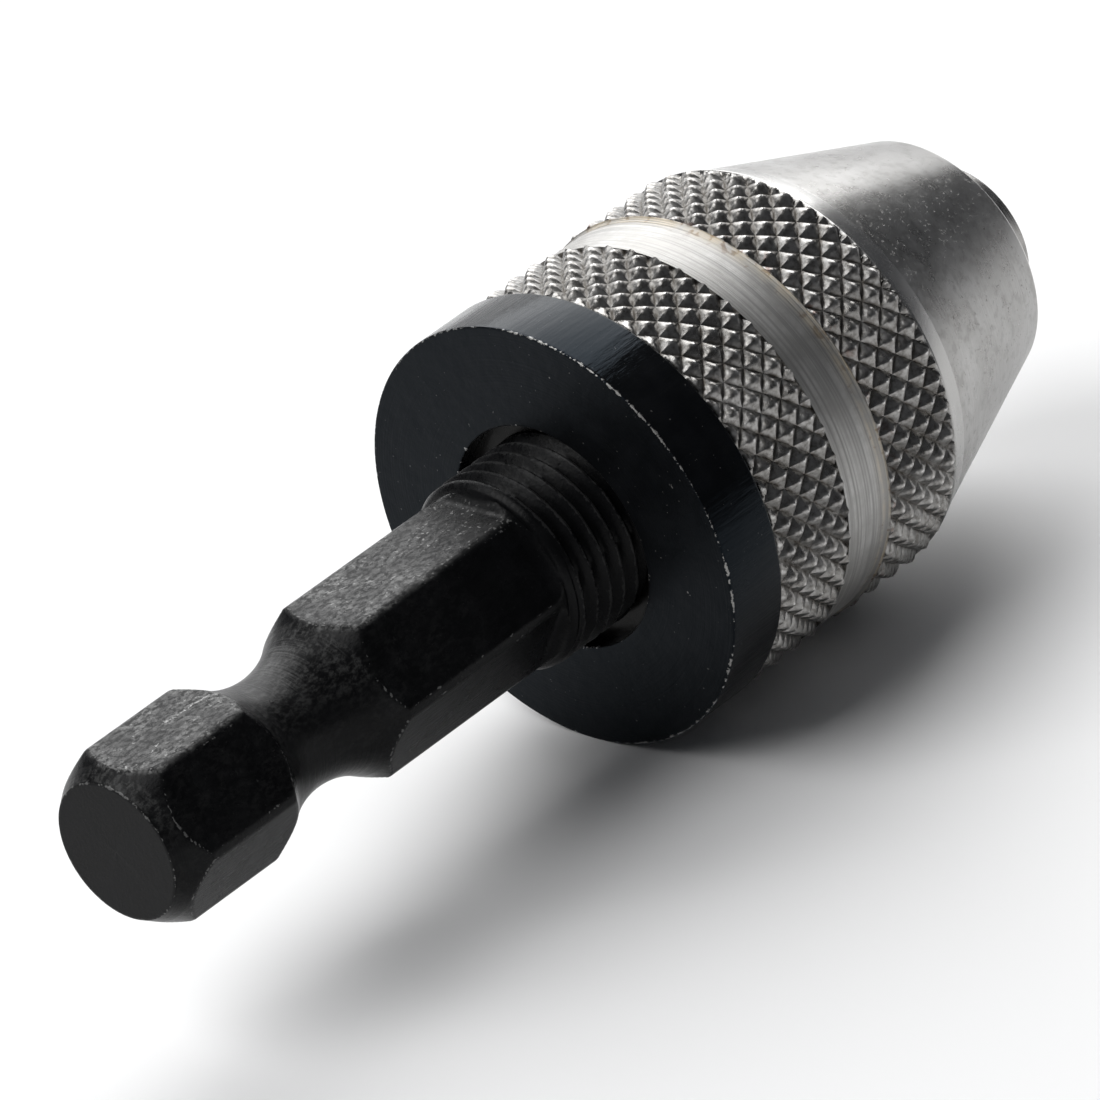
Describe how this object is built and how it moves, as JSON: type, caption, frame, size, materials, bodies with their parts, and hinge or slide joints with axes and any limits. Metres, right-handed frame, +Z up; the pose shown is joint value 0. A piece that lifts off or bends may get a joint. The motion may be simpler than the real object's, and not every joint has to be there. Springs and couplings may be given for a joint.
{
  "type": "drill chuck",
  "caption": "Small hand-tightened jaw drill chuck with a knurled sleeve, screwed onto a hex quick-change shank.",
  "frame": {"origin": "centre of the hex shank's end face, on the spin axis", "axes": "+X along the spin axis from the shank towards the nose, +Z up and square to one hex flat, +Y to the left of +X"},
  "size_m": [0.048, 0.0172, 0.0172],
  "materials": {
    "black_oxide_steel": "matt black oxide, worn bright at the edges",
    "gloss_black_steel": "glossy black on the rim, matt turned rear face",
    "nickel_plate": "nickel plate with a sharp diamond knurl, satin cone, stained and pitted",
    "ground_steel": "fine ground steel",
    "cage_brass": "stamped brass",
    "ball_steel": "polished bearing steel"
  },
  "bodies": {
    "chuck": {"hex_shank": "black_oxide_steel", "rear_flange": "gloss_black_steel", "chuck_body": "ground_steel", "race_washer": "ground_steel"},
    "sleeve": {"outer_sleeve": "nickel_plate", "nut_half_1": "ground_steel", "nut_half_2": "ground_steel"},
    "cage": {"ball_cage": "cage_brass", "ball_1": "ball_steel", "ball_2": "ball_steel", "ball_3": "ball_steel", "ball_4": "ball_steel", "ball_5": "ball_steel", "ball_6": "ball_steel", "ball_7": "ball_steel", "ball_8": "ball_steel", "ball_9": "ball_steel", "ball_10": "ball_steel", "ball_11": "ball_steel", "ball_12": "ball_steel"},
    "jaw_a": {"jaw_1": "ground_steel"},
    "jaw_b": {"jaw_2": "ground_steel"},
    "jaw_c": {"jaw_3": "ground_steel"}
  },
  "joints": [
    {"name": "sleeve_turn", "type": "hinge", "parent": "chuck", "child": "sleeve", "pos_m": [0.0354, 0, 0], "axis": [1, 0, 0], "range_deg": [-748, 1648]},
    {"name": "cage_turn", "type": "hinge", "parent": "chuck", "child": "cage", "pos_m": [0.03442, 0, 0], "axis": [1, 0, 0], "range_deg": [-374.5, 824.5]},
    {"name": "jaw_1_slide", "type": "slide", "parent": "chuck", "child": "jaw_a", "axis": [-0.9724, 0, 0.2334], "range_m": [-0.00214, 0.00471]},
    {"name": "jaw_2_slide", "type": "slide", "parent": "chuck", "child": "jaw_b", "axis": [-0.9724, -0.2022, -0.1167], "range_m": [-0.00214, 0.00471]},
    {"name": "jaw_3_slide", "type": "slide", "parent": "chuck", "child": "jaw_c", "axis": [-0.9724, 0.2022, -0.1167], "range_m": [-0.00214, 0.00471]}
  ],
  "couplings": [
    {"joint": "cage_turn", "follows": "sleeve_turn", "ratio": 0.5},
    {"joint": "jaw_1_slide", "follows": "sleeve_turn", "m_per_rad": 0.00016368},
    {"joint": "jaw_2_slide", "follows": "sleeve_turn", "m_per_rad": 0.00016368},
    {"joint": "jaw_3_slide", "follows": "sleeve_turn", "m_per_rad": 0.00016368}
  ]
}
